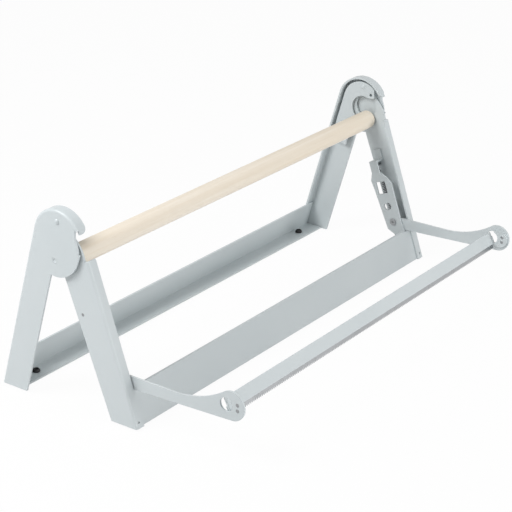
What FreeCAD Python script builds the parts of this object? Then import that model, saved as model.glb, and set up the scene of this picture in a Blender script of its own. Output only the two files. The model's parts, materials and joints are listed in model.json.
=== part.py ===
import FreeCAD, Part
import math
import os

# Countertop roll-paper dispenser with a hinged cutter bar.
# X runs along the roll, -Y is the cutter side, +Z is up, millimetres.
# Parts are drawn with Z = 0 at the underside of the legs and Y = 0 at the middle of the
# depth, then lifted by the height of the rubber feet. The +X side is drawn and mirrored.

# ---------------------------------------------------------------- overall sizes
span = 640.0              # outer face to outer face of the two brackets
height = 248.0            # top of the bracket heads above the legs' underside
stance = 208.9            # rear heel to front toe of the legs, along Y
front_reach = 142.8       # front toe to the front tip of the cutter arms

# ---------------------------------------------------------------- sheet and fits
gauge = 2.5               # bracket sheet
bend_radius = 3.4         # outside radius of every bend in the bracket sheet
member_gauge = 2.5        # sheet of the cross members, tension plates and arms
plate_gap = 0.3           # gap between sheets that slide over each other
leg_gap = 2.0             # gap between the rear and front legs, held by the pivot's collar
hook_gap = 2.0            # gap between the front leg and the hook plate
arm_gap = 1.5             # gap between the front flange's edge and the cutter arm
pin_clearance = 0.05      # radial clearance of a pin in the sheet that turns on it
dowel_clearance = 0.4     # radial clearance of the dowel in its seat
stop_gap = 0.4            # gap under the arms where they rest in their notches
foot_rise = 2.5           # height of the rubber pads under the metal

# ---------------------------------------------------------------- rear legs
rear_lean = 16.8          # degrees that the rear legs lean forward
rear_leg_width = 38.3
rear_flange = 15.0
head_radius = 36.0
head_length = 12.0        # distance between the two arcs that round the head
hood_end = 160.0          # degrees from +Y where the hood flange stops
lobe_radius = 35.5        # lower arc of the head
hood_setback = 28.0       # upright front edge under the hood, from the upper arc's centre
hook_inset = 6.5          # hook plate's edge inside the head's edge
hook_reach = 62.0         # length of the hook plate below the lower head arc

# ---------------------------------------------------------------- front legs
pivot_inset = 46.6        # front bend line to the leg pivot, square to the line
front_taper = 2.1         # extra lean of the rear edge of the front leg
front_foot_width = 38.6   # along Y at the foot
front_flange = 13.6
front_leg_rise = 7.3      # top of the flange above the leg pivot
front_head_radius = 42.0   # round head about the leg pivot, above the flange
front_heel_radius = 19.0   # and the smaller round behind and below the pivot
front_head_start = 52.0    # degrees from +Y where the round head starts
port_radius = 16.5         # round opening in the head
port_setback = 9.8         # its centre in front of the leg pivot
port_rise = 20.8           # and above it
relief_hole_radius = 1.3
relief_hole_height = 7.0         # up the flange from the toe

# ---------------------------------------------------------------- head features
pivot_drop = 62.8         # leg pivot below the top of the head
pivot_back = 4.2          # and behind the upper arc's centre
pivot_radius = 4.0
pivot_dimple_radius = 2.2
pivot_collar_radius = 7.0
dowel_radius = 12.7
dowel_rise = 2.8          # dowel axis above the leg pivot
dowel_forward = 13.8      # dowel axis in front of the leg pivot
dowel_end_gap = 2.3       # gap from the dowel's end to the front leg's web
hook_bore_radius = 18.0   # upper round of the slot that holds the dowel upside down
hook_bore_rise = 15.0     # its centre above the dowel axis
hook_bore_setback = 7.0   # and behind it
mouth_top_rise = 31.5     # underside of the hook's nose above the dowel axis
lip_drop = 7.0            # top of the front lip below the dowel axis
nose_radius = 3.0         # rounding of the nose's lower corner
nose_hole_radius = 2.2
nose_hole_back = 5.5      # hole behind the nose's front edge
nose_hole_rise = 5.0      # and above its underside
hook_rivet_radius = 2.0
hook_rivet_hole = 3.4     # radius of the hole round the rivet in the hook plate
hook_rivet_rise = 49.0    # above the leg pivot
hook_rivet_forward = 6.5  # in front of the leg pivot
hook_pad_radius = 5.0     # welded spacer behind the slot
hook_pad_setback = 24.5   # its centre behind the leg pivot
hook_pad_rise = 20.0      # and above it
hood_corner = 8.0         # rounding of the hood's front corner

# ---------------------------------------------------------------- cross members
rear_member_height = 39.0
rear_member_shelf = 28.5
front_member_height = 43.3
front_member_shelf = 28.0
notch_width = 23.0        # level floor under the arm, from the leg's web inward
foot_inset = 41.0         # foot axis in from the bracket's outer face
foot_stem_radius = 4.0
foot_pad_radius = 8.0
foot_button_radius = 5.0
foot_button_height = 4.0
foot_hole_radius = 2.6    # screw hole down through the foot

# ---------------------------------------------------------------- cutter arms
arm_pivot_along = 60.3    # up the front leg from the toe
arm_pivot_inset = 21.6    # behind the front bend line
arm_heel_radius = 9.5
arm_neck_rise = 7.3       # level upper edge of the neck above the arm pivot
arm_disc_radius = 18.0
arm_disc_rise = 14.7      # disc centre above the arm pivot
arm_flare_start = 84.0    # arm pivot to the start of the upper flare
arm_pin_radius = 3.0
arm_head_radius = 5.0
arm_head = 1.6            # thickness of the pivot's inner head
arm_keeper = 1.0          # thickness of its outer head
arm_window_radius = 8.5
arm_window_offset = 7.0   # window centre behind the disc centre
lug_radius = 12.0         # spring pin's distance from the arm pivot
lug_angle = 267.0         # its direction from +Y
lug_wall = 4.5

# ---------------------------------------------------------------- tension plates
# Places on the plate are measured from the arm pivot: an offset back from the front leg's
# flange and a distance up the leg.
plate_front = -13.0       # edges of the wide body
plate_rear = 18.0
plate_body = 56.0         # length of the body above the arm pivot
strip_front = 2.5         # edges of the narrow strip above it
strip_rear = 15.5
strip_start = 74.0
strip_end = 90.5
ear_length = 13.5         # welded ear against the leg's web
plate_tail = 19.0         # length below the arm pivot
plate_foot = 13.0         # flange welded to the front member
plate_foot_start = 10.0   # its lower end, up the leg from the toe
plate_foot_end = 31.0
window_offset = 5.0
window_along = 51.0
window_width = 15.5
window_length = 17.5
plate_hole_offset = 2.8
plate_hole_along = 23.0
plate_hole_radius = 5.5

# ---------------------------------------------------------------- springs
spring_anchor_along = 82.4
spring_anchor_offset = 10.6
spring_pin_radius = 2.0
spring_pin_collar = 3.2
coil_radius = 2.6
wire_radius = 0.5
coil_pitch = 1.6
coil_end_gap = 8.5        # from each pin to the first turn
spring_gap = 0.5          # between the coil and the arm pivot's outer head

# ---------------------------------------------------------------- cutter bar
bar_gauge = 1.2
bar_width = 16.5
bar_tilt = 63.5           # degrees that the strip slopes down toward the front
bar_top_back = 11.3       # strip's top edge behind the disc centre
bar_top_rise = 6.2        # and above it
keeper_width = 6.0        # strip welded under the bar's lower edge to hold the blade
tab_radius = 12.0
tab_rivet_radius = 1.4
tab_rivet_forward = 8.5
tab_rivet_pitch = 7.0
blade_gauge = 0.6
blade_show = 6.0          # blade standing out of the keeper
blade_seat = 4.5          # blade held under the keeper
tooth_pitch = 5.0
tooth_depth = 1.8


def unit(degrees_from_y):
    """Unit vector in the YZ plane."""
    angle = math.radians(degrees_from_y)
    return FreeCAD.Vector(0, math.cos(angle), math.sin(angle))


def at(y, z, x=0.0):
    return FreeCAD.Vector(x, y, z)


def polygon(points, x_start, x_end):
    """Flat sheet with a straight-sided outline in the YZ plane."""
    corners = [FreeCAD.Vector(x_start, p.y, p.z) for p in points]
    face = Part.Face(Part.makePolygon(corners + corners[:1]))
    return face.extrude(FreeCAD.Vector(x_end - x_start, 0, 0))


def disc(centre, radius, x_start, x_end):
    """Cylinder along X."""
    base = FreeCAD.Vector(x_start, centre.y, centre.z)
    return Part.makeCylinder(radius, x_end - x_start, base, FreeCAD.Vector(1, 0, 0))


def slab(x_start, x_end, y_start, y_end, z_start, z_end):
    size = (x_end - x_start, y_end - y_start, z_end - z_start)
    return Part.makeBox(*size, FreeCAD.Vector(x_start, y_start, z_start))


def join(shapes):
    return shapes[0].multiFuse(shapes[1:]).removeSplitter()


def rounded(shape, radius, chosen):
    """Fillet the edges that the test picks."""
    edges = [edge for edge in shape.Edges if chosen(edge)]
    return shape.makeFillet(radius, edges)


def crossing(x, spot, reach):
    """Picks the edges that lie in one YZ plane, close to a spot."""
    def chosen(edge):
        middle = edge.CenterOfMass
        near = math.hypot(middle.y - spot.y, middle.z - spot.z) < reach / 2
        return abs(middle.x - x) < 0.01 and near and edge.Length < 1.2 * reach
    return chosen


def along_x(spot):
    """Picks the edge that runs along X through a spot."""
    def chosen(edge):
        middle = edge.CenterOfMass
        near = math.hypot(middle.y - spot.y, middle.z - spot.z) < 0.01
        return near and abs(edge.Length - gauge) < 0.01
    return chosen


# ---------------------------------------------------------------- shared places
outer = span / 2                               # outer face of the rear leg
rear_web = outer - gauge                       # inner face of the rear leg
front_outer = rear_web - leg_gap
front_web = front_outer - gauge                # inner face of the front leg
hook_outer = front_web - hook_gap
hook_inner = hook_outer - gauge
flange_edge = front_outer - front_flange       # free edge of the front flange
arm_outer = flange_edge - arm_gap
arm_inner = arm_outer - member_gauge
plate_outer = arm_inner - plate_gap
plate_inner = plate_outer - member_gauge
arm_pin_end = arm_outer + plate_gap + arm_keeper
spring_x = arm_pin_end + spring_gap + coil_radius + wire_radius

depth = stance + front_reach
heel = at(depth / 2, 0)
toe = at(depth / 2 - stance, 0)

rear_up = unit(90 + rear_lean)
rear_out = unit(rear_lean)
head_run = (height - head_radius + head_radius * rear_out.z) / rear_up.z
head_top = heel + rear_up * head_run - rear_out * head_radius
head_low = head_top - rear_up * head_length

pivot = at(head_top.y + pivot_back, height - pivot_drop)
dowel = at(pivot.y - dowel_forward, pivot.z + dowel_rise)
hook_bore = at(dowel.y + hook_bore_setback, dowel.z + hook_bore_rise)
hook_rivet = at(pivot.y - hook_rivet_forward, pivot.z + hook_rivet_rise)
hook_pad = at(pivot.y + hook_pad_setback, pivot.z + hook_pad_rise)
port = at(pivot.y - port_setback, pivot.z + port_rise)

# The front legs lean back just enough to reach the leg pivot.
climb = pivot - toe
front_lean = math.degrees(math.atan2(climb.y, climb.z) - math.asin(pivot_inset / climb.Length))
front_up = unit(90 - front_lean)
front_in = unit(-front_lean)                   # from the front flange toward the rear
edge_up = unit(90 - front_lean - front_taper)
front_leg_top = pivot.z + front_leg_rise

arm_pivot = toe + front_up * arm_pivot_along + front_in * arm_pivot_inset
arm_disc = at(arm_disc_radius - depth / 2, arm_pivot.z + arm_disc_rise)
spring_lug = arm_pivot + unit(lug_angle) * lug_radius
spring_anchor = arm_pivot + front_up * spring_anchor_along + front_in * spring_anchor_offset


def along_leg(offset, distance):
    """Point given from the arm pivot: back from the flange, and up the front leg."""
    return arm_pivot + front_in * offset + front_up * distance


def bend_section(x_outer, thickness, width, origin, outward, web_depth):
    """L-shaped bend: a flange of the given width turning into a strip of web."""
    def place(x, inward):
        spot = origin - outward * inward
        return FreeCAD.Vector(x, spot.y, spot.z)
    inner = bend_radius - thickness
    middle = bend_radius * (1 - math.sqrt(0.5))
    inner_middle = bend_radius - inner * math.sqrt(0.5)
    outer_arc = Part.Arc(place(x_outer - bend_radius, 0), place(x_outer - middle, middle),
                         place(x_outer, bend_radius))
    inner_arc = Part.Arc(place(x_outer - thickness, bend_radius),
                         place(x_outer - inner_middle, inner_middle),
                         place(x_outer - bend_radius, thickness))
    runs = [
        (place(x_outer - width, 0), place(x_outer - bend_radius, 0)),
        outer_arc,
        (place(x_outer, bend_radius), place(x_outer, web_depth)),
        (place(x_outer, web_depth), place(x_outer - thickness, web_depth)),
        (place(x_outer - thickness, web_depth), place(x_outer - thickness, bend_radius)),
        inner_arc,
        (place(x_outer - bend_radius, thickness), place(x_outer - width, thickness)),
        (place(x_outer - width, thickness), place(x_outer - width, 0)),
    ]
    edges = [run.toShape() if isinstance(run, Part.Arc) else Part.makeLine(*run) for run in runs]
    return Part.Face(Part.Wire(edges))


def band_section(x_outer, thickness, origin, outward, web_depth):
    """The part of the flat web that a bend replaces."""
    def place(x, inward):
        spot = origin - outward * inward
        return FreeCAD.Vector(x, spot.y, spot.z)
    corners = [place(x_outer, -1.0), place(x_outer, web_depth),
               place(x_outer - thickness, web_depth), place(x_outer - thickness, -1.0)]
    return Part.Face(Part.makePolygon(corners + corners[:1]))


def head_outline(inset, x_start, x_end, low_end):
    """Rounded head and the leg below it, drawn `inset` inside the outer outline."""
    radius = head_radius - inset
    low_radius = lobe_radius - inset
    rear_line = heel - rear_out * inset
    front_line = heel - rear_out * (rear_leg_width - inset)
    run = head_run - head_length
    leg = polygon([rear_line + rear_up * low_end, rear_line + rear_up * head_run, head_top,
                   front_line + rear_up * run, front_line + rear_up * low_end],
                  x_start, x_end)
    neck = polygon([head_top, head_top - rear_out * radius, head_low - rear_out * low_radius,
                    head_low], x_start, x_end)
    top = join([leg, neck, disc(head_top, radius, x_start, x_end)])
    front = head_top.y - hood_setback
    hood_level = (head_top + unit(hood_end) * head_radius).z + gauge
    top = top.cut(slab(x_start, x_end, front - span, front, head_low.z, hood_level))
    return join([top, disc(head_low, low_radius, x_start, x_end)])


def below(z):
    """Everything under a level, for trimming."""
    return slab(-span, span, -span, span, z - span, z)


# ---------------------------------------------------------------- rear frame
def rear_leg():
    web_depth = bend_radius + 1.0
    web = head_outline(0.0, rear_web, outer, -2 * rear_leg_width)
    start = heel - rear_up * rear_leg_width
    turn = hood_end - rear_lean
    sweeps = []
    for section in (band_section(outer, gauge, start, rear_out, web_depth),
                    bend_section(outer, gauge, rear_flange, start, rear_out, web_depth)):
        length = head_run + rear_leg_width
        straight = section.extrude(rear_up * length)
        curved = section.copy()
        curved.translate(rear_up * length)
        hood = curved.revolve(head_top, FreeCAD.Vector(1, 0, 0), turn)
        sweeps.append(join([straight, hood]))
    free_edge = outer - rear_flange
    hood_tip = head_top + unit(hood_end) * (head_radius - gauge / 2)
    bend = rounded(sweeps[1], hood_corner, crossing(free_edge, hood_tip, gauge))
    front = head_top.y - hood_setback
    notch = slab(outer - bend_radius, outer, front - span, front, 0, hood_tip.z + 2 * gauge)
    leg = join([web.cut(sweeps[0]), bend.cut(notch)]).cut(below(0))
    for centre, radius in ((pivot, pivot_radius), (hook_rivet, hook_rivet_radius)):
        leg = leg.cut(disc(centre, radius, rear_web - 1, outer + 1))
    return leg


def hook_plate():
    plate = head_outline(hook_inset, hook_inner, hook_outer,
                         head_run - head_length - hook_reach)
    lip = at(dowel.y - dowel_radius + 1.5, dowel.z - lip_drop)
    nose = at(lip.y, dowel.z + mouth_top_rise)
    front = at(dowel.y - 3 * dowel_radius, 0)
    mouth = polygon([at(front.y, lip.z), lip, dowel, hook_bore, at(hook_bore.y, nose.z),
                     nose, at(lip.y, height), at(front.y, height)],
                    hook_inner - 1, hook_outer + 1)
    openings = [
        mouth,
        disc(hook_bore, hook_bore_radius, hook_inner - 1, hook_outer + 1),
        disc(dowel, dowel_radius + dowel_clearance, hook_inner - 1, hook_outer + 1),
    ]
    plate = plate.cut(join(openings))
    plate = rounded(plate, nose_radius, along_x(nose))
    nose_hole = at(nose.y + nose_hole_back, nose.z + nose_hole_rise)
    for centre, radius in ((hook_rivet, hook_rivet_hole), (nose_hole, nose_hole_radius)):
        plate = plate.cut(disc(centre, radius, hook_inner - 1, hook_outer + 1))
    return plate


def hook_spacers():
    """Ring round the upper rivet and a welded pad behind the slot."""
    ring = disc(hook_rivet, hook_rivet_hole + gauge / 2, hook_outer, rear_web)
    ring = ring.cut(disc(hook_rivet, hook_rivet_radius, hook_outer - 1, rear_web + 1))
    return [ring, disc(hook_pad, hook_pad_radius, hook_outer, rear_web)]


def domed_rivet(centre, radius, x_start, x_end, outer_dome, inner_dome):
    """Rivet along X with a low dome on each end; a dome height of 0 is a flush end."""
    parts = [disc(centre, radius, x_start, x_end)]
    for x, dome, side in ((x_end, outer_dome, 1), (x_start, inner_dome, -1)):
        if dome > 0:
            head_radius_here = 1.8 * radius
            ball_radius = (head_radius_here ** 2 + dome ** 2) / (2 * dome)
            ball_centre = FreeCAD.Vector(x - side * (ball_radius - dome), centre.y, centre.z)
            ball = Part.makeSphere(ball_radius, ball_centre)
            low, high = sorted((x, x + side * (dome + 1)))
            parts.append(ball.common(disc(centre, head_radius_here, low, high)))
    return join(parts)


def leg_pivot_pin():
    """Pin riveted flush in the rear leg, with a collar; the front leg turns on it."""
    pin = disc(pivot, pivot_radius, front_web, outer)
    collar = disc(pivot, pivot_collar_radius, front_outer + plate_gap, rear_web)
    dimple = disc(pivot, pivot_dimple_radius, outer - gauge / 3, outer + 1)
    return join([pin, collar]).cut(dimple)


def rear_member():
    """Angle that ties the rear legs together: a leaning face and a shelf on the floor."""
    face_out = gauge / rear_up.z
    face_in = (gauge + member_gauge) / rear_up.z
    lean = rear_up.y / rear_up.z
    top = rear_member_height
    shelf_front = heel.y - face_out - rear_member_shelf
    outline = [
        at(heel.y - face_out, 0),
        at(heel.y - face_out + lean * top, top),
        at(heel.y - face_in + lean * top, top),
        at(heel.y - face_in + lean * member_gauge, member_gauge),
        at(shelf_front, member_gauge),
        at(shelf_front, 0),
    ]
    end = outer - bend_radius
    angle = polygon(outline, -end, end)
    return angle.cut(join([foot_hole(x, rear_foot_y()) for x in foot_places()]))


def rear_foot_y():
    return heel.y - gauge / rear_up.z - rear_member_shelf / 2


def foot_places():
    return (foot_inset - outer, outer - foot_inset)


def foot_hole(x, y):
    return Part.makeCylinder(foot_stem_radius, member_gauge + 2, FreeCAD.Vector(x, y, -1))


def foot(x, y):
    """Push-in rubber foot: pad below the sheet, stem and button above, screw hole through."""
    up = FreeCAD.Vector(0, 0, 1)
    pad = Part.makeCone(foot_pad_radius - 0.8, foot_pad_radius, foot_rise,
                        FreeCAD.Vector(x, y, -foot_rise), up)
    stem = Part.makeCylinder(foot_stem_radius, member_gauge, FreeCAD.Vector(x, y, 0))
    button = Part.makeCone(foot_button_radius, foot_stem_radius - 1, foot_button_height,
                           FreeCAD.Vector(x, y, member_gauge), up)
    screw = Part.makeCylinder(foot_hole_radius, 6 * foot_rise + member_gauge,
                              FreeCAD.Vector(x, y, -2 * foot_rise))
    return join([pad, stem, button]).cut(screw)


# ---------------------------------------------------------------- front frame
def front_leg():
    web_depth = bend_radius + 1.0
    tread = FreeCAD.Vector(0, front_foot_width, 0)
    reach = front_leg_top / front_up.z
    corner = toe + front_up * reach
    rear_top = toe + tread + edge_up * ((pivot.z - front_heel_radius / 2) / edge_up.z)
    far = 2 * front_head_radius
    sector = polygon([pivot, pivot + unit(front_head_start) * far,
                      pivot + unit(front_head_start + 60) * far,
                      pivot + unit(180) * far], front_web, front_outer)
    web = join([
        polygon([toe, corner, pivot, rear_top, toe + tread], front_web, front_outer),
        disc(pivot, front_heel_radius, front_web, front_outer),
        disc(pivot, front_head_radius, front_web, front_outer).common(sector),
    ])
    web = web.cut(disc(port, port_radius, front_web - 1, front_outer + 1))
    start = toe - front_up * front_foot_width
    band = band_section(front_outer, gauge, start, front_in * -1, web_depth)
    bend = bend_section(front_outer, gauge, front_flange, start, front_in * -1, web_depth)
    run = front_up * (reach + 2 * front_foot_width)
    flange = bend.extrude(run).cut(slab(0, span, -span, span, front_leg_top, 2 * span))
    leg = join([web.cut(band.extrude(run)), flange]).cut(below(0))
    leg = leg.cut(disc(pivot, pivot_radius + pin_clearance, front_web - 1, front_outer + 1))
    leg = leg.cut(disc(spring_anchor, spring_pin_radius, front_web - 1, front_outer + 1))
    relief = toe + front_up * relief_hole_height
    relief.x = front_outer - front_flange / 2
    return leg.cut(Part.makeCylinder(relief_hole_radius, 4 * gauge,
                                     relief - front_in * 2 * gauge, front_in))


def front_member():
    """Angle behind the front flanges, notched at each end for the cutter arms."""
    face_out = gauge / front_up.z
    face_in = (gauge + member_gauge) / front_up.z
    lean = front_up.y / front_up.z
    top = front_member_height
    shelf_rear = toe.y + face_out + front_member_shelf
    outline = [
        at(toe.y + face_out, 0),
        at(toe.y + face_out + lean * top, top),
        at(toe.y + face_in + lean * top, top),
        at(toe.y + face_in + lean * member_gauge, member_gauge),
        at(shelf_rear, member_gauge),
        at(shelf_rear, 0),
    ]
    end = front_outer - bend_radius
    angle = polygon(outline, -end, end)
    floor = notch_floor()
    slope = top + 1 - floor
    for side in (-1, 1):
        inner = side * (front_web - notch_width)
        corners = [(inner, floor), (side * span, floor), (side * span, top + 1),
                   (inner - side * slope, top + 1)]
        points = [FreeCAD.Vector(x, toe.y - 1, z) for x, z in corners]
        notch = Part.Face(Part.makePolygon(points + points[:1]))
        angle = angle.cut(notch.extrude(FreeCAD.Vector(0, stance / 2, 0)))
    return angle.cut(join([foot_hole(x, front_foot_y()) for x in foot_places()]))


def notch_floor():
    """Level under the lowest point of an arm where it crosses the front member."""
    face_in = (gauge + member_gauge) / front_up.z
    y = toe.y + face_in + front_member_height * front_up.y / front_up.z
    start, end = arm_lower_edge()
    return start.z + (end.z - start.z) * (start.y - y) / (start.y - end.y) - stop_gap


def front_foot_y():
    return toe.y + gauge / front_up.z + front_member_shelf / 2


def tension_plate():
    """Plate that carries the arm pivot, spaced in from the leg's web."""
    body = polygon([
        along_leg(plate_front, -plate_tail / 3),
        along_leg(plate_front, plate_body),
        along_leg(plate_front / 2, plate_body + 10),
        along_leg(strip_front, strip_start),
        along_leg(strip_front, strip_end),
        along_leg(strip_rear, strip_end),
        along_leg(strip_rear, strip_start),
        along_leg(plate_rear + 2, plate_body + 7),
        along_leg(plate_rear, plate_body - 6),
        along_leg(plate_rear - 6, -plate_tail / 2),
        along_leg(2, -plate_tail),
        along_leg(plate_front / 2, -plate_tail),
    ], plate_inner, plate_outer)
    weld_line = toe + front_in * (gauge + member_gauge)
    tail = polygon([
        weld_line + front_up * plate_foot_end,
        along_leg(plate_front, 0),
        along_leg(0, -plate_tail),
        weld_line + front_up * plate_foot_start + front_in * 12,
        weld_line + front_up * plate_foot_start,
    ], plate_inner, plate_outer)
    foot_strip = polygon([
        weld_line + front_up * plate_foot_end,
        weld_line + front_up * plate_foot_end + front_in * member_gauge,
        weld_line + front_up * plate_foot_start + front_in * member_gauge,
        weld_line + front_up * plate_foot_start,
    ], plate_outer - plate_foot, plate_outer)
    bridge = polygon([
        along_leg(strip_front, strip_end - member_gauge),
        along_leg(strip_front, strip_end),
        along_leg(strip_rear, strip_end),
        along_leg(strip_rear, strip_end - member_gauge),
    ], plate_inner, front_web)
    ear = polygon([
        along_leg(strip_front, strip_end - member_gauge),
        along_leg(strip_front, strip_end + ear_length),
        along_leg(strip_rear, strip_end + ear_length),
        along_leg(strip_rear, strip_end - member_gauge),
    ], front_web - member_gauge, front_web)
    plate = join([body, tail, foot_strip, bridge, ear])
    half_long, half_wide = window_length / 2, window_width / 2
    window = polygon([
        along_leg(window_offset - half_wide, window_along - half_long),
        along_leg(window_offset + half_wide, window_along - half_long),
        along_leg(window_offset + half_wide, window_along + half_long),
        along_leg(window_offset - half_wide, window_along + half_long),
    ], plate_inner - 1, plate_outer + 1)
    hole = disc(along_leg(plate_hole_offset, plate_hole_along), plate_hole_radius,
                plate_inner - 1, plate_outer + 1)
    bore = disc(arm_pivot, arm_pin_radius, plate_inner - 1, plate_outer + 1)
    return plate.cut(window).cut(hole).cut(bore)


def arm_pivot_pin():
    """Shouldered rivet: head inside the plate, shank through plate and arm, washer head."""
    shank = disc(arm_pivot, arm_pin_radius, plate_inner, arm_outer + plate_gap)
    head = disc(arm_pivot, arm_head_radius, plate_inner - arm_head, plate_inner)
    keeper = disc(arm_pivot, arm_head_radius, arm_pin_end - arm_keeper, arm_pin_end)
    hollow = disc(arm_pivot, arm_pin_radius / 2, plate_inner - 2 * arm_head, plate_inner)
    return join([shank, head, keeper]).cut(hollow)


def spring_anchor_pin():
    tip = spring_x - 3 * wire_radius
    shank = disc(spring_anchor, spring_pin_radius, tip, front_outer)
    collar = disc(spring_anchor, spring_pin_collar, tip - 2 * wire_radius, tip)
    return join([shank, collar])


def spring():
    """Extension spring: close coil between a ring on each pin."""
    axis = spring_anchor - spring_lug
    length = axis.Length
    axis.normalize()
    ring_radius = spring_pin_radius + pin_clearance + wire_radius
    coil_length = length - 2 * coil_end_gap
    helix = Part.makeHelix(coil_pitch, coil_length, coil_radius)
    start = FreeCAD.Vector(coil_radius, 0, 0)
    wire_face = Part.Wire(Part.makeCircle(wire_radius, start, FreeCAD.Vector(0, 1, 0)))
    coil = Part.Wire(helix).makePipeShell([wire_face], True, True)
    turn = FreeCAD.Rotation(FreeCAD.Vector(0, 0, 1), axis)
    base = FreeCAD.Vector(spring_x, spring_lug.y, spring_lug.z) + axis * coil_end_gap
    coil.Placement = FreeCAD.Placement(base, turn)
    tip = FreeCAD.Vector(spring_x, spring_lug.y, spring_lug.z)
    far = FreeCAD.Vector(spring_x, spring_anchor.y, spring_anchor.z)
    side = turn.multVec(start)
    turns = coil_length / coil_pitch
    end_spin = FreeCAD.Rotation(axis, 360 * (turns % 1))
    links = []
    for centre, heading, lateral in ((tip, axis, side), (far, axis * -1, end_spin.multVec(side))):
        ring = Part.makeTorus(ring_radius, wire_radius, centre, FreeCAD.Vector(1, 0, 0))
        near = centre + heading * ring_radius
        reach = centre + heading * coil_end_gap + lateral
        run = reach - near
        link = Part.makeCylinder(0.9 * wire_radius, run.Length, near, run)
        elbow = Part.makeSphere(1.2 * wire_radius, reach)
        links.append(ring.fuse(link).fuse(elbow))
    return coil.fuse(links[0]).fuse(links[1])


# ---------------------------------------------------------------- cutter
def arm_lower_edge():
    """Straight line that touches the heel and the disc from below."""
    reach = arm_disc - arm_pivot
    heading = math.degrees(math.atan2(reach.z, reach.y))
    tilt = math.degrees(math.acos((arm_heel_radius - arm_disc_radius) / reach.Length))
    down = unit(heading + tilt)
    return arm_pivot + down * arm_heel_radius, arm_disc + down * arm_disc_radius


def arm_outline(x_start, x_end):
    """Arm with a heel round the pivot, a flaring neck and a disc at its front end."""
    flare = at(arm_pivot.y - arm_flare_start, arm_pivot.z + arm_neck_rise)
    run = flare.y - arm_disc.y
    drop = arm_disc.z - flare.z
    flare_radius = (run ** 2 + drop ** 2 - arm_disc_radius ** 2)
    flare_radius = flare_radius / (2 * (arm_disc_radius + drop))
    flare_centre = at(flare.y, flare.z + flare_radius)
    toward = flare_centre - arm_disc
    toward.normalize()
    touch = arm_disc + toward * arm_disc_radius
    swing = math.atan2(flare_centre.y - touch.y, flare_centre.z - touch.z) / 2
    middle = at(flare_centre.y - flare_radius * math.sin(swing),
                flare_centre.z - flare_radius * math.cos(swing))
    heel_top = at(arm_pivot.y, flare.z)
    low_heel, low_disc = arm_lower_edge()
    edges = [
        Part.makeLine(low_heel, heel_top),
        Part.makeLine(heel_top, flare),
        Part.Arc(flare, middle, touch).toShape(),
        Part.makeLine(touch, arm_disc),
        Part.makeLine(arm_disc, low_disc),
        Part.makeLine(low_disc, low_heel),
    ]
    blank = Part.Face(Part.Wire(edges))
    blank.translate(FreeCAD.Vector(x_start, 0, 0))
    body = blank.extrude(FreeCAD.Vector(x_end - x_start, 0, 0))
    lug = disc(spring_lug, lug_wall, x_start, x_end)
    across = unit(lug_angle - 90)
    lug_neck = polygon([
        spring_lug + across * lug_wall,
        arm_pivot + across * arm_heel_radius,
        arm_pivot - across * arm_heel_radius,
        spring_lug - across * lug_wall,
    ], x_start, x_end)
    return join([
        body, lug, lug_neck,
        disc(arm_pivot, arm_heel_radius, x_start, x_end),
        disc(arm_disc, arm_disc_radius, x_start, x_end),
    ])


def cutter_arm():
    arm = arm_outline(arm_inner, arm_outer)
    window_centre = at(arm_disc.y + arm_window_offset, arm_disc.z)
    holes = [
        disc(arm_pivot, arm_pin_radius + pin_clearance, arm_inner - 1, arm_outer + 1),
        disc(spring_lug, spring_pin_radius, arm_inner - 1, arm_outer + 1),
        disc(window_centre, arm_window_radius, arm_inner - 1, arm_outer + 1),
    ]
    for place in tab_rivet_places():
        holes.append(disc(place, tab_rivet_radius, arm_inner - 1, arm_outer + 1))
    for hole in holes:
        arm = arm.cut(hole)
    return arm


def tab_rivet_places():
    """Two rivets in front of the disc centre, one above the other."""
    y = arm_disc.y - tab_rivet_forward
    return [at(y, arm_disc.z + side * tab_rivet_pitch / 2) for side in (-1, 1)]


def bar_frame():
    """Top edge of the strip, the way down it and the way out of its upper face."""
    top = at(arm_disc.y + bar_top_back, arm_disc.z + bar_top_rise)
    return top, unit(180 + bar_tilt), unit(90 + bar_tilt)


def bar_strip(start, end, depth_below, thickness, x_half):
    """Flat strip along the bar from `start` to `end` down its slope."""
    top, down, face = bar_frame()
    base = top - face * depth_below
    return polygon([base + down * start, base + down * end,
                    base + down * end - face * thickness,
                    base + down * start - face * thickness], -x_half, x_half)


def cutter_bar():
    """Strip with a blade keeper under its lower edge and a riveted tab on each end."""
    strip = bar_strip(0, bar_width, 0, bar_gauge, arm_inner)
    slot_depth = bar_gauge + blade_gauge
    keeper = bar_strip(bar_width - keeper_width, bar_width, slot_depth, bar_gauge, arm_inner)
    root = bar_strip(bar_width - keeper_width, bar_width - blade_seat, bar_gauge,
                     blade_gauge, arm_inner)
    tab_centre = at(arm_disc.y - arm_disc_radius + tab_radius + 2, arm_disc.z)
    parts = [strip, keeper, root]
    for x_start in (-arm_inner, arm_inner - 2 * bar_gauge):
        parts.append(disc(tab_centre, tab_radius, x_start, x_start + 2 * bar_gauge))
    bar = join(parts)
    window = at(arm_disc.y + arm_window_offset, arm_disc.z)
    clear = disc(window, arm_window_radius, -span, span)
    top, down, face = bar_frame()
    keep = bar_strip(-1, bar_width + 1, -1, 2 * slot_depth + 2, span)
    bar = bar.cut(clear.cut(keep))
    blade_path = bar_strip(bar_width - blade_seat, bar_width + 2 * blade_show, bar_gauge,
                           blade_gauge, arm_inner)
    bar = bar.cut(blade_path)
    for place in tab_rivet_places():
        bar = bar.cut(disc(place, tab_rivet_radius, -span, span))
    return bar


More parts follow.
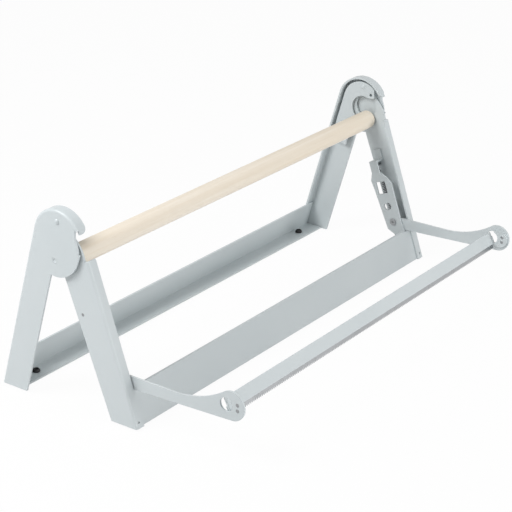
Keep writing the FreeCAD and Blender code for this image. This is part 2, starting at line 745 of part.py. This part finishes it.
def cutter_blade():
    """Thin strip held under the keeper, with teeth along its free edge."""
    top, down, face = bar_frame()
    half = arm_inner - 2 * bar_gauge - 1
    begin = bar_width - blade_seat
    tip = bar_width + blade_show
    teeth = int(2 * half // tooth_pitch)
    edge_start = -teeth * tooth_pitch / 2
    base = top - face * bar_gauge
    points = [(-half, begin), (-half, tip - tooth_depth)]
    for tooth in range(teeth):
        x = edge_start + tooth * tooth_pitch
        points += [(x, tip - tooth_depth), (x + tooth_pitch / 2, tip)]
    points += [(-edge_start, tip - tooth_depth), (half, tip - tooth_depth), (half, begin)]
    corners = []
    for x, run in points:
        spot = base + down * run
        corners.append(FreeCAD.Vector(x, spot.y, spot.z))
    return Part.Face(Part.makePolygon(corners + corners[:1])).extrude(face * -blade_gauge)


def tab_rivet(place):
    inner = arm_inner - 2 * bar_gauge
    return domed_rivet(place, tab_rivet_radius, inner, arm_outer, 0.8, 0.8)


def arm_spring_pin():
    tip = spring_x + 3 * wire_radius
    shank = disc(spring_lug, spring_pin_radius, arm_inner, tip)
    collar = disc(spring_lug, spring_pin_collar, tip, tip + 2 * wire_radius)
    return join([shank, collar])


def roll_dowel():
    end = front_web - dowel_end_gap
    rod = disc(dowel, dowel_radius, -end, end)
    return rod.makeChamfer(1.0, [edge for edge in rod.Edges if edge.Closed])


# ---------------------------------------------------------------- output
def mirrored(shape):
    return shape.mirror(FreeCAD.Vector(0, 0, 0), FreeCAD.Vector(1, 0, 0))


def write(name, shape):
    lifted = shape.copy()
    lifted.translate(FreeCAD.Vector(0, 0, foot_rise))
    lifted.exportStep("parts/" + name + ".step")


def write_handed(name, shape):
    """One node for each side."""
    write("right_" + name, shape)
    write("left_" + name, mirrored(shape))


def write_pair(name, shape):
    """Two separate solids in one node."""
    write(name, Part.makeCompound([shape, mirrored(shape)]))


os.makedirs("parts", exist_ok=True)

write_handed("rear_leg", rear_leg())
write_handed("hook_plate", hook_plate())
write("hook_spacers", Part.makeCompound([
    solid for pad in hook_spacers() for solid in (pad, mirrored(pad))
]))
write_pair("hook_rivets", domed_rivet(hook_rivet, hook_rivet_radius, hook_inner, outer, 2.0, 1.2))
write_pair("leg_pivot_pins", leg_pivot_pin())
write("rear_cross_member", rear_member())
write("rear_feet", Part.makeCompound([foot(x, rear_foot_y()) for x in foot_places()]))

write_handed("front_leg", front_leg())
write("front_cross_member", front_member())
write("front_feet", Part.makeCompound([foot(x, front_foot_y()) for x in foot_places()]))
write_handed("tension_plate", tension_plate())
write_pair("arm_pivot_pins", arm_pivot_pin())
write_pair("spring_anchor_pins", spring_anchor_pin())
write_handed("spring", spring())

write_handed("cutter_arm", cutter_arm())
write_pair("arm_spring_pins", arm_spring_pin())
write("cutter_bar", cutter_bar())
write("cutter_blade", cutter_blade())
write("tab_rivets", Part.makeCompound([
    rivet for place in tab_rivet_places()
    for rivet in (tab_rivet(place), mirrored(tab_rivet(place)))
]))
write("roll_dowel", roll_dowel())
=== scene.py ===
import bmesh
import bpy
import json
import math
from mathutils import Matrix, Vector

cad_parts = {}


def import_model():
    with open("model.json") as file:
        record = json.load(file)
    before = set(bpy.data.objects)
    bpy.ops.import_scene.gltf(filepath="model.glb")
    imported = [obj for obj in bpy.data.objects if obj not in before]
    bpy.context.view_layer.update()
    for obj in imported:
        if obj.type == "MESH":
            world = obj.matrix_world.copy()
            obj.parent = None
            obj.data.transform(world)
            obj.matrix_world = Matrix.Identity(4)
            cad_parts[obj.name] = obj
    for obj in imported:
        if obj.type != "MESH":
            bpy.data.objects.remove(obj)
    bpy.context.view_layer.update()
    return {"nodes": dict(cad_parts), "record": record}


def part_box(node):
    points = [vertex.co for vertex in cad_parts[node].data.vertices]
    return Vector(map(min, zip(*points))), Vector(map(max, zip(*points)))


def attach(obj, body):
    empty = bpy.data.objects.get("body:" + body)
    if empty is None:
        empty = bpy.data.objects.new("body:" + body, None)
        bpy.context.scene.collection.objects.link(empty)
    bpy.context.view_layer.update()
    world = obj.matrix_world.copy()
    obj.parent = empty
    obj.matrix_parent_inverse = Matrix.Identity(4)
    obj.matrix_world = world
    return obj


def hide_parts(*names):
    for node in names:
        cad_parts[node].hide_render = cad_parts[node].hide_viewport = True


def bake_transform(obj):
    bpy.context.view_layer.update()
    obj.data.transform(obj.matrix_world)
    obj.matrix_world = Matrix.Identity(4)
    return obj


# Roll-paper dispenser with a hinged cutter bar: materials, finer pieces, light and camera
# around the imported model. Metres, in the model's own frame.

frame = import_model()

# ---------------------------------------------------------------- named sizes
VIEW_AZIMUTH = math.radians(-53.5)
VIEW_ELEVATION = math.radians(23.16)
VIEW_DISTANCE = 2.105
VIEW_TARGET = Vector((-0.01348, 0.02066, 0.1025))
LENS = 116.1

SHEET_EDGE = 0.0004            # rounding of every sheared sheet edge
DOWEL_END_ROUND = 0.0012
DOWEL_SIDES = 96
DOWEL_CORNER_STEPS = 6
DOWEL_RINGS = 12               # lengths between the rings of points along the rod
DOWEL_RING_SPAN = 1.9          # they cover 95% of its length, as a multiple of half of it

WIRE_RADIUS = 0.0005
WIRE_SIDES = 8
COIL_RADIUS = 0.0026
COIL_PITCH = 0.0024            # wider than the CAD's, so that the turns read in the picture
COIL_END_GAP = 0.0085          # from a pin to the first turn
COIL_TURN_POINTS = 20
PIN_RADIUS = 0.00205           # hook's inner radius round a spring pin
HOOK_POINTS = 29
HOOK_STEP = 11.0               # degrees between two points of a hook
LUG_HOOK_START = 150           # degrees from the spring's axis
ANCHOR_HOOK_START = -158
EASE_STEPS = 5                 # from a hook to the coil

BAR_SLOPE = math.radians(63.5) # of the blade, down toward the front
BLADE_THICKNESS = 0.0006
BLADE_TIP = (0.35, 0.65)       # where the thinned tips lie in the thickness
BLADE_BEVEL_RUN = 2.2          # the thinning's length, in tooth depths
TOOTH_PITCH = 0.0032
TOOTH_DEPTH = 0.0015

FOOT_SIDES = 40
FOOT_RADIUS = 0.008
FOOT_HOLE_RADIUS = 0.0026
FOOT_PAD_THICKNESS = 0.0025
FOOT_WAIST_RADIUS = 0.0041
FOOT_WAIST_LENGTH = 0.0025     # the sheet that it grips

WELD_DISTANCE = 2e-6
FLAT_ANGLE = math.radians(0.3) # faces closer than this are one flat face
EDGE_SEGMENTS = 2
EDGE_ANGLE = math.radians(40)  # sharper edges are rounded
NORMAL_WEIGHT = 90

FLOOR_HALF = 14.0
FLOOR_DROP = 0.0003            # below the feet, so that no faces coincide
STAGE_GREY = 0.86
STAGE_WHITE_SHARE = 0.96       # of what the camera and reflections see of the floor
WORLD_LEVEL = 0.33             # strength of the surroundings as a light
SENSOR_WIDTH = 36.0


# ---------------------------------------------------------------- materials
class Nodes:
    """A few lines of shorthand for building one material's node tree."""

    def __init__(self, name):
        self.material = bpy.data.materials.new(name)
        self.material.use_nodes = True
        self.tree = self.material.node_tree
        self.tree.nodes.clear()
        self.output = self.tree.nodes.new("ShaderNodeOutputMaterial")
        self.shader = self.tree.nodes.new("ShaderNodeBsdfPrincipled")
        self.link(self.shader.outputs[0], self.output.inputs["Surface"])

    def add(self, kind, **values):
        node = self.tree.nodes.new(kind)
        for key, value in values.items():
            setattr(node, key, value)
        return node

    def link(self, source, target):
        self.tree.links.new(source, target)

    def place(self, scale=(1.0, 1.0, 1.0)):
        """Object coordinates, stretched."""
        coordinates = self.add("ShaderNodeTexCoord")
        mapping = self.add("ShaderNodeMapping")
        mapping.inputs["Scale"].default_value = scale
        self.link(coordinates.outputs["Object"], mapping.inputs["Vector"])
        return mapping.outputs["Vector"]

    def noise(self, place, scale, detail=3.0, roughness=0.5):
        node = self.add("ShaderNodeTexNoise")
        node.inputs["Scale"].default_value = scale
        node.inputs["Detail"].default_value = detail
        node.inputs["Roughness"].default_value = roughness
        self.link(place, node.inputs["Vector"])
        return node.outputs["Fac"]

    def blend(self, factor, first, second):
        """Colour between two colours."""
        node = self.add("ShaderNodeMix", data_type="RGBA")
        self.link(factor, node.inputs["Factor"])
        for socket, value in ((node.inputs["A"], first), (node.inputs["B"], second)):
            if isinstance(value, tuple):
                socket.default_value = (*value, 1.0)
            else:
                self.link(value, socket)
        return node.outputs["Result"]

    def remap(self, value, low, high, new_low, new_high):
        node = self.add("ShaderNodeMapRange")
        self.link(value, node.inputs["Value"])
        for key, number in (("From Min", low), ("From Max", high),
                            ("To Min", new_low), ("To Max", new_high)):
            node.inputs[key].default_value = number
        return node.outputs["Result"]

    def bump(self, height, distance, strength=1.0, under=None):
        node = self.add("ShaderNodeBump")
        node.inputs["Distance"].default_value = distance
        node.inputs["Strength"].default_value = strength
        self.link(height, node.inputs["Height"])
        if under is not None:
            self.link(under, node.inputs["Normal"])
        return node.outputs["Normal"]

    def finish(self, colour=None, roughness=None, normal=None, **fixed):
        """Wires what varies, and sets what doesn't on the shader itself."""
        for key, source in (("Base Color", colour), ("Roughness", roughness), ("Normal", normal)):
            if source is not None:
                self.link(source, self.shader.inputs[key])
        for key, value in fixed.items():
            self.shader.inputs[key.replace("_", " ")].default_value = value
        return self.material


def enamel():
    """Light blue-grey baked enamel with a faint orange peel and slightly uneven gloss."""
    n = Nodes("grey_enamel")
    place = n.place()
    tone = n.remap(n.noise(place, 9.0, 4.0), 0.3, 0.7, 0.0, 1.0)
    colour = n.blend(tone, (0.585, 0.636, 0.652), (0.615, 0.662, 0.676))
    speck = n.remap(n.noise(place, 2600.0, 2.0), 0.62, 0.78, 0.0, 0.35)
    colour = n.blend(speck, colour, (0.68, 0.72, 0.73))
    gloss = n.remap(n.noise(place, 45.0, 5.0), 0.3, 0.7, 0.30, 0.42)
    peel = n.noise(place, 520.0, 3.0, 0.6)
    normal = n.bump(peel, 0.00006, 0.6)
    return n.finish(colour, gloss, normal, Coat_Weight=0.12, Coat_Roughness=0.2)


def wood():
    """Pale hardwood: fine streaks along the rod and pores, with rings on its ends."""
    n = Nodes("dowel_wood")
    streaks = n.noise(n.place((6.0, 260.0, 260.0)), 1.0, 6.0, 0.62)
    broad = n.noise(n.place((2.2, 60.0, 60.0)), 1.0, 3.0)
    pores = n.noise(n.place((55.0, 1500.0, 1500.0)), 1.0, 3.0, 0.7)
    colour = n.blend(n.remap(broad, 0.35, 0.65, 0.0, 1.0),
                     (0.850, 0.765, 0.640), (0.890, 0.825, 0.725))
    colour = n.blend(n.remap(streaks, 0.40, 0.72, 0.0, 0.60), colour, (0.800, 0.695, 0.550))
    colour = n.blend(n.remap(pores, 0.60, 0.75, 0.0, 0.35), colour, (0.640, 0.515, 0.370))
    rings = n.add("ShaderNodeTexWave", wave_type="RINGS", rings_direction="X")
    rings.inputs["Scale"].default_value = 180.0
    rings.inputs["Distortion"].default_value = 1.5
    n.link(n.place(), rings.inputs["Vector"])
    end = n.blend(rings.outputs["Fac"], (0.700, 0.580, 0.430), (0.820, 0.720, 0.580))
    geometry = n.add("ShaderNodeNewGeometry")
    split = n.add("ShaderNodeSeparateXYZ")
    n.link(geometry.outputs["Normal"], split.inputs["Vector"])
    facing = n.add("ShaderNodeMath", operation="ABSOLUTE")
    n.link(split.outputs["X"], facing.inputs[0])
    colour = n.blend(n.remap(facing.outputs[0], 0.6, 0.9, 0.0, 1.0), colour, end)
    rough = n.remap(streaks, 0.3, 0.7, 0.52, 0.66)
    normal = n.bump(pores, 0.00008, 0.5, under=n.bump(streaks, 0.00012, 0.5))
    return n.finish(colour, rough, normal)


def rubber():
    n = Nodes("foot_rubber")
    place = n.place()
    dust = n.remap(n.noise(place, 400.0, 4.0), 0.45, 0.75, 0.0, 0.5)
    colour = n.blend(dust, (0.007, 0.007, 0.008), (0.022, 0.022, 0.024))
    normal = n.bump(n.noise(place, 1500.0, 3.0), 0.0001, 0.4)
    rough = n.remap(n.noise(place, 90.0), 0.3, 0.7, 0.55, 0.75)
    return n.finish(colour, rough, normal)


def metal(name, dark, light, stretch, rough_low, rough_high, bump):
    """Bare metal with drawing or grinding lines along the stretched direction."""
    n = Nodes(name)
    lines = n.noise(n.place(stretch), 1.0, 4.0, 0.6)
    stain = n.noise(n.place(), 60.0, 3.0)
    colour = n.blend(lines, dark, light)
    rough = n.remap(stain, 0.3, 0.7, rough_low, rough_high)
    return n.finish(colour, rough, n.bump(lines, bump, 0.5), Metallic=1.0)


ENAMEL = enamel()
WOOD = wood()
RUBBER = rubber()
RIVET = metal("rivet_steel", (0.24, 0.25, 0.26), (0.40, 0.41, 0.42), (900, 900, 900),
              0.28, 0.42, 0.00002)
SPRING = metal("spring_steel", (0.09, 0.09, 0.095), (0.22, 0.22, 0.23), (300, 300, 300),
               0.28, 0.40, 0.00001)
# Blade steel, partly its own colour and partly painted shade: darkened so that the blade reads as
# the shaded dark line along the cutter bar's lower edge.
BLADE_STEEL_AND_SHADE = metal("blade_steel", (0.30, 0.31, 0.32), (0.46, 0.47, 0.48), (2400, 40, 40),
              0.22, 0.34, 0.00002)
FINISHES = {
    "grey_enamel": ENAMEL,
    "dowel_wood": WOOD,
    "foot_rubber": RUBBER,
    "rivet_steel": RIVET,
    "spring_steel": SPRING,
    "blade_steel": BLADE_STEEL_AND_SHADE,
}


# ---------------------------------------------------------------- mesh helpers
def piece(name, vertices, faces, material, smooth=True):
    mesh = bpy.data.meshes.new(name)
    mesh.from_pydata(vertices, [], faces)
    mesh.validate()
    for polygon in mesh.polygons:
        polygon.use_smooth = smooth
    mesh.materials.append(material)
    obj = bpy.data.objects.new(name, mesh)
    bpy.context.scene.collection.objects.link(obj)
    return obj


def turned(profile, segments, origin, axis="X"):
    """Closed solid of revolution. The profile is a loop of (along, radius) points."""
    vertices, faces = [], []
    count = len(profile)
    for step in range(segments):
        angle = 2 * math.pi * step / segments
        for along, radius in profile:
            if axis == "X":
                offset = Vector((along, radius * math.cos(angle), radius * math.sin(angle)))
            else:
                offset = Vector((radius * math.cos(angle), radius * math.sin(angle), along))
            vertices.append(origin + offset)
    for step in range(segments):
        here, there = step * count, (step + 1) % segments * count
        for i in range(count):
            j = (i + 1) % count
            faces.append((here + i, here + j, there + j, there + i))
    return vertices, faces


def tidy(obj, distance=1e-6):
    """Merges the doubled points of a turned or joined mesh and turns its faces outward."""
    work = bmesh.new()
    work.from_mesh(obj.data)
    bmesh.ops.remove_doubles(work, verts=work.verts, dist=distance)
    bmesh.ops.recalc_face_normals(work, faces=work.faces)
    work.to_mesh(obj.data)
    work.free()
    return obj


def sharpen(obj, degrees):
    """Keeps shading crisp across edges sharper than an angle."""
    obj.data.set_sharp_from_angle(angle=math.radians(degrees))


def tube(path, radius, sides):
    """Closed tube along a list of points."""
    vertices, faces = [], []
    tangent = (path[1] - path[0]).normalized()
    normal = tangent.orthogonal().normalized()
    for i, spot in enumerate(path):
        ahead = path[min(i + 1, len(path) - 1)]
        behind = path[max(i - 1, 0)]
        tangent = (ahead - behind).normalized()
        normal = (normal - tangent * normal.dot(tangent)).normalized()
        other = tangent.cross(normal)
        for side in range(sides):
            angle = 2 * math.pi * side / sides
            vertices.append(spot + (normal * math.cos(angle) + other * math.sin(angle)) * radius)
    for i in range(len(path) - 1):
        for side in range(sides):
            a, b = i * sides + side, i * sides + (side + 1) % sides
            faces.append((a, b, b + sides, a + sides))
    faces.append(tuple(range(sides - 1, -1, -1)))
    last = (len(path) - 1) * sides
    faces.append(tuple(last + side for side in range(sides)))
    return vertices, faces


def merged(parts):
    """One list of vertices and faces out of several."""
    vertices, faces = [], []
    for more_vertices, more_faces in parts:
        start = len(vertices)
        vertices += more_vertices
        faces += [tuple(start + i for i in face) for face in more_faces]
    return vertices, faces


def mirrored(part):
    """The same vertices and faces on the other side of the YZ plane."""
    vertices, faces = part
    flipped = [Vector((-v.x, v.y, v.z)) for v in vertices]
    return flipped, [tuple(reversed(face)) for face in faces]


def settle(obj, body, slot, *nodes):
    """The body a piece moves with and the nodes it stands for, which are hidden. The slot
    argument is not used.
    """
    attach(obj, body)
    if nodes:
        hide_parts(*nodes)


def centre(node):
    low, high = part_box(node)
    return (low + high) / 2


def pin_place(node):
    """Middle of a left and right pair of pins, in the YZ plane."""
    middle = centre(node)
    return Vector((0.0, middle.y, middle.z))


# ---------------------------------------------------------------- carried-over sheet metal
def dress(node, slot):
    """Material, rounded edges and clean shading for a CAD node whose shape stays."""
    obj = frame["nodes"][node]
    obj.data.materials.clear()
    obj.data.materials.append(FINISHES[slot])
    if "custom_normal" in obj.data.attributes:
        obj.data.attributes.remove(obj.data.attributes["custom_normal"])
    for polygon in obj.data.polygons:
        polygon.use_smooth = True
    weld = obj.modifiers.new("weld", "WELD")
    weld.merge_threshold = WELD_DISTANCE
    flat = obj.modifiers.new("flat_faces", "DECIMATE")
    flat.decimate_type = "DISSOLVE"
    flat.angle_limit = FLAT_ANGLE
    bevel = obj.modifiers.new("edges", "BEVEL")
    bevel.width = SHEET_EDGE
    bevel.segments = EDGE_SEGMENTS
    bevel.limit_method = "ANGLE"
    bevel.angle_limit = EDGE_ANGLE
    bevel.use_clamp_overlap = True
    shade = obj.modifiers.new("shading", "WEIGHTED_NORMAL")
    shade.weight = NORMAL_WEIGHT
    shade.keep_sharp = True


# ---------------------------------------------------------------- finer pieces
def dowel():
    """Round rod with softened end corners."""
    low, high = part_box("roll_dowel")
    middle = centre("roll_dowel")
    radius = (high.z - low.z) / 2
    half = (high.x - low.x) / 2
    corner = []
    for i in range(DOWEL_CORNER_STEPS + 1):
        angle = math.pi / 2 * i / DOWEL_CORNER_STEPS
        corner.append((half - DOWEL_END_ROUND * (1 - math.sin(angle)),
                       radius - DOWEL_END_ROUND * (1 - math.cos(angle))))
    body = [(half * (i / DOWEL_RINGS - 0.5) * DOWEL_RING_SPAN, radius)
            for i in range(DOWEL_RINGS + 1)]
    profile = [(half, 0.0)] + corner[::-1] + body[::-1]
    profile += [(-x, r) for x, r in corner] + [(-half, 0.0)]
    vertices, faces = turned(profile, DOWEL_SIDES, Vector((0.0, middle.y, middle.z)))
    obj = tidy(piece("dowel_rod", vertices, faces, WOOD))
    sharpen(obj, 50)
    settle(obj, "dowel", "dowel_wood", "roll_dowel")


def hook(pin, axis, front, start, step):
    """Points of the wire's open loop round a spring pin."""
    points = []
    for i in range(HOOK_POINTS):
        angle = math.radians(start + step * i)
        offset = axis * math.cos(angle) + front * math.sin(angle)
        points.append(pin + offset * (PIN_RADIUS + WIRE_RADIUS))
    return points


def eased(first, last):
    """Points between two ends, without the ends."""
    return [first.lerp(last, i / EASE_STEPS) for i in range(1, EASE_STEPS)]


def spring(name, node):
    """Extension spring with a hook round the pin at each end."""
    low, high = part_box(node)
    x = (low.x + high.x) / 2
    lug = pin_place("arm_spring_pins")
    anchor = pin_place("spring_anchor_pins")
    lug.x = anchor.x = x
    axis = (anchor - lug).normalized()
    side_way = Vector((1.0, 0.0, 0.0))
    front = side_way.cross(axis)
    turns = ((anchor - lug).length - 2 * COIL_END_GAP) / COIL_PITCH
    steps = int(turns * COIL_TURN_POINTS)
    path = hook(lug, axis, front, LUG_HOOK_START, -HOOK_STEP)
    path += eased(path[-1], lug + axis * COIL_END_GAP + front * COIL_RADIUS)
    for i in range(steps + 1):
        angle = 2 * math.pi * turns * i / steps
        spot = lug + axis * (COIL_END_GAP + COIL_PITCH * turns * i / steps)
        path.append(spot + (front * math.cos(angle) + side_way * math.sin(angle)) * COIL_RADIUS)
    ring = hook(anchor, -axis, front, ANCHOR_HOOK_START, HOOK_STEP)
    path += eased(path[-1], ring[0]) + ring
    vertices, faces = tube(path, WIRE_RADIUS, WIRE_SIDES)
    obj = tidy(piece(name, vertices, faces, SPRING), distance=1e-8)
    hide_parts(node)
    pivot = pin_place("arm_pivot_pins")
    pivot.x = x
    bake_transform(obj)


def blade():
    """Ground strip with fine teeth, thinned toward their tips."""
    low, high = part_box("cutter_blade")
    half = (high.x - low.x) / 2
    down = Vector((0, -math.cos(BAR_SLOPE), -math.sin(BAR_SLOPE)))
    face = Vector((0, -math.sin(BAR_SLOPE), math.cos(BAR_SLOPE)))
    thickness = BLADE_THICKNESS
    length = (high.z - low.z - thickness * abs(face.z)) / abs(down.z)
    base = Vector((0, low.y - length * down.y, high.z))
    teeth = int(2 * half / TOOTH_PITCH)
    first = -teeth * TOOTH_PITCH / 2
    vertices, faces = [], []

    def station(x, run, depth):
        return Vector((x, 0, 0)) + base + down * run - face * depth

    bevel_start = length - BLADE_BEVEL_RUN * TOOTH_DEPTH
    columns = 2 * teeth + 1
    for i in range(columns):
        x = max(-half, min(half, first + i * TOOTH_PITCH / 2))
        run = length if i % 2 else length - TOOTH_DEPTH
        section = [
            station(x, 0, 0), station(x, bevel_start, 0),
            station(x, run, thickness * BLADE_TIP[0]), station(x, run, thickness * BLADE_TIP[1]),
            station(x, bevel_start, thickness), station(x, 0, thickness),
        ]
        vertices += section
    corners = len(section)
    for i in range(columns - 1):
        for j in range(corners):
            a, b = i * corners + j, i * corners + (j + 1) % corners
            faces.append((a, a + corners, b + corners, b))
    end = (columns - 1) * corners
    faces.append(tuple(range(corners)))
    faces.append(tuple(end + j for j in range(corners - 1, -1, -1)))
    obj = tidy(piece("serrated_blade", vertices, faces, BLADE_STEEL_AND_SHADE, smooth=False), distance=1e-7)
    settle(obj, "cutter", "blade_steel", "cutter_blade")


def foot_profile(low, high):
    """Push-in ring foot: domed pad, waist at the sheet, button above, hole down the middle."""
    hole = FOOT_HOLE_RADIUS
    wide = FOOT_RADIUS
    waist = FOOT_WAIST_RADIUS
    pad_top = low.z + FOOT_PAD_THICKNESS
    waist_top = pad_top + FOOT_WAIST_LENGTH
    pad = [
        (low.z, hole + 0.0006), (low.z, wide - 0.0018), (low.z + 0.0003, wide - 0.0008),
        (low.z + 0.001, wide - 0.0002), (pad_top - 0.0004, wide),
        (pad_top - 0.0001, wide - 0.0003), (pad_top, wide - 0.0008),
    ]
    button = [
        (waist_top + 0.0002, 0.0048), (waist_top + 0.0007, 0.0050),
        (waist_top + 0.0018, 0.0049), (high.z - 0.0012, 0.0045), (high.z - 0.0004, 0.0039),
        (high.z, 0.0033),
    ]
    bore = [(high.z, hole + 0.0004), (high.z - 0.0004, hole), (low.z + 0.0006, hole)]
    return pad + [(pad_top, waist), (waist_top, waist)] + button + bore


def feet(name, node, body):
    """Left and right foot of one frame, as one piece."""
    low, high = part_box(node)
    origin = Vector((high.x - FOOT_RADIUS, centre(node).y, 0.0))
    right = turned(foot_profile(low, high), FOOT_SIDES, origin, "Z")
    vertices, faces = merged([right, mirrored(right)])
    obj = tidy(piece(name, vertices, faces, RUBBER), distance=1e-8)
    sharpen(obj, 45)
    settle(obj, body, "foot_rubber", node)


# ---------------------------------------------------------------- stage, light, camera
def stage_material():
    """White for the camera and in reflections, with a share of plain diffuse for shadows."""
    material = bpy.data.materials.new("stage_white")
    material.use_nodes = True
    tree = material.node_tree
    tree.nodes.clear()
    output = tree.nodes.new("ShaderNodeOutputMaterial")
    diffuse = tree.nodes.new("ShaderNodeBsdfDiffuse")
    diffuse.inputs["Color"].default_value = (STAGE_GREY, STAGE_GREY, STAGE_GREY, 1)
    white = tree.nodes.new("ShaderNodeEmission")
    white.inputs["Strength"].default_value = 1.0
    path = tree.nodes.new("ShaderNodeLightPath")
    seen = tree.nodes.new("ShaderNodeMath")
    seen.operation = "MAXIMUM"
    tree.links.new(path.outputs["Is Camera Ray"], seen.inputs[0])
    tree.links.new(path.outputs["Is Glossy Ray"], seen.inputs[1])
    share = tree.nodes.new("ShaderNodeMath")
    share.operation = "MULTIPLY"
    share.inputs[1].default_value = STAGE_WHITE_SHARE
    tree.links.new(seen.outputs[0], share.inputs[0])
    mix = tree.nodes.new("ShaderNodeMixShader")
    tree.links.new(share.outputs[0], mix.inputs[0])
    tree.links.new(diffuse.outputs[0], mix.inputs[1])
    tree.links.new(white.outputs[0], mix.inputs[2])
    tree.links.new(mix.outputs[0], output.inputs[0])
    return material


def floor():
    size = FLOOR_HALF
    corners = [(-size, -size, 0), (size, -size, 0), (size, size, 0), (-size, size, 0)]
    obj = piece("floor", corners, [(0, 1, 2, 3)], stage_material(), smooth=False)
    obj.location.z = -FLOOR_DROP


def world():
    """Even grey surroundings for the light, white where the camera or a reflection looks."""
    surroundings = bpy.data.worlds.new("surroundings")
    bpy.context.scene.world = surroundings
    surroundings.use_nodes = True
    tree = surroundings.node_tree
    tree.nodes.clear()
    output = tree.nodes.new("ShaderNodeOutputWorld")
    background = tree.nodes.new("ShaderNodeBackground")
    background.inputs["Color"].default_value = (1, 1, 1, 1)
    path = tree.nodes.new("ShaderNodeLightPath")
    seen = tree.nodes.new("ShaderNodeMath")
    seen.operation = "MAXIMUM"
    tree.links.new(path.outputs["Is Camera Ray"], seen.inputs[0])
    tree.links.new(path.outputs["Is Glossy Ray"], seen.inputs[1])
    level = tree.nodes.new("ShaderNodeMapRange")
    level.inputs["To Min"].default_value = WORLD_LEVEL
    level.inputs["To Max"].default_value = 1.0
    tree.links.new(seen.outputs[0], level.inputs["Value"])
    tree.links.new(level.outputs[0], background.inputs["Strength"])
    tree.links.new(background.outputs[0], output.inputs[0])


def lamp(name, azimuth, elevation, distance, size, power):
    """Large soft lamp aimed at the middle of the object."""
    data = bpy.data.lights.new(name, "AREA")
    data.shape = "SQUARE"
    data.size = size
    data.energy = power
    obj = bpy.data.objects.new(name, data)
    bpy.context.scene.collection.objects.link(obj)
    back = direction(math.radians(azimuth), math.radians(elevation))
    obj.location = VIEW_TARGET + back * distance
    obj.rotation_mode = "QUATERNION"
    obj.rotation_quaternion = (-back).to_track_quat("-Z", "Y")


def direction(azimuth, elevation):
    """From the object toward a viewer: azimuth 0 is the -Y side, 90 the +X side."""
    return Vector((
        math.sin(azimuth) * math.cos(elevation),
        -math.cos(azimuth) * math.cos(elevation),
        math.sin(elevation),
    ))


def camera():
    data = bpy.data.cameras.new("camera")
    data.sensor_width = SENSOR_WIDTH
    data.lens = LENS
    data.clip_start = 0.05
    data.clip_end = 60.0
    obj = bpy.data.objects.new("camera", data)
    bpy.context.scene.collection.objects.link(obj)
    back = direction(VIEW_AZIMUTH, VIEW_ELEVATION)
    obj.location = VIEW_TARGET + back * VIEW_DISTANCE
    obj.rotation_mode = "QUATERNION"
    obj.rotation_quaternion = (-back).to_track_quat("-Z", "Y")
    bpy.context.scene.camera = obj


# ---------------------------------------------------------------- assembly
REPLACED = {
    "roll_dowel", "left_spring", "right_spring", "cutter_blade", "rear_feet", "front_feet",
}
for entry in frame["record"]["subparts"]:
    if entry["node"] not in REPLACED:
        dress(entry["node"], entry["material_slot"])

dowel()
spring("left_coil_spring", "left_spring")
spring("right_coil_spring", "right_spring")
blade()
feet("rear_ring_feet", "rear_feet", "rear_frame")
feet("front_ring_feet", "front_feet", "front_frame")

floor()
world()
lamp("key", azimuth=-118, elevation=46, distance=1.7, size=0.8, power=20.0)
lamp("fill", azimuth=8, elevation=15, distance=2.4, size=1.4, power=29)
camera()

scene = bpy.context.scene
scene.view_settings.view_transform = "Standard"
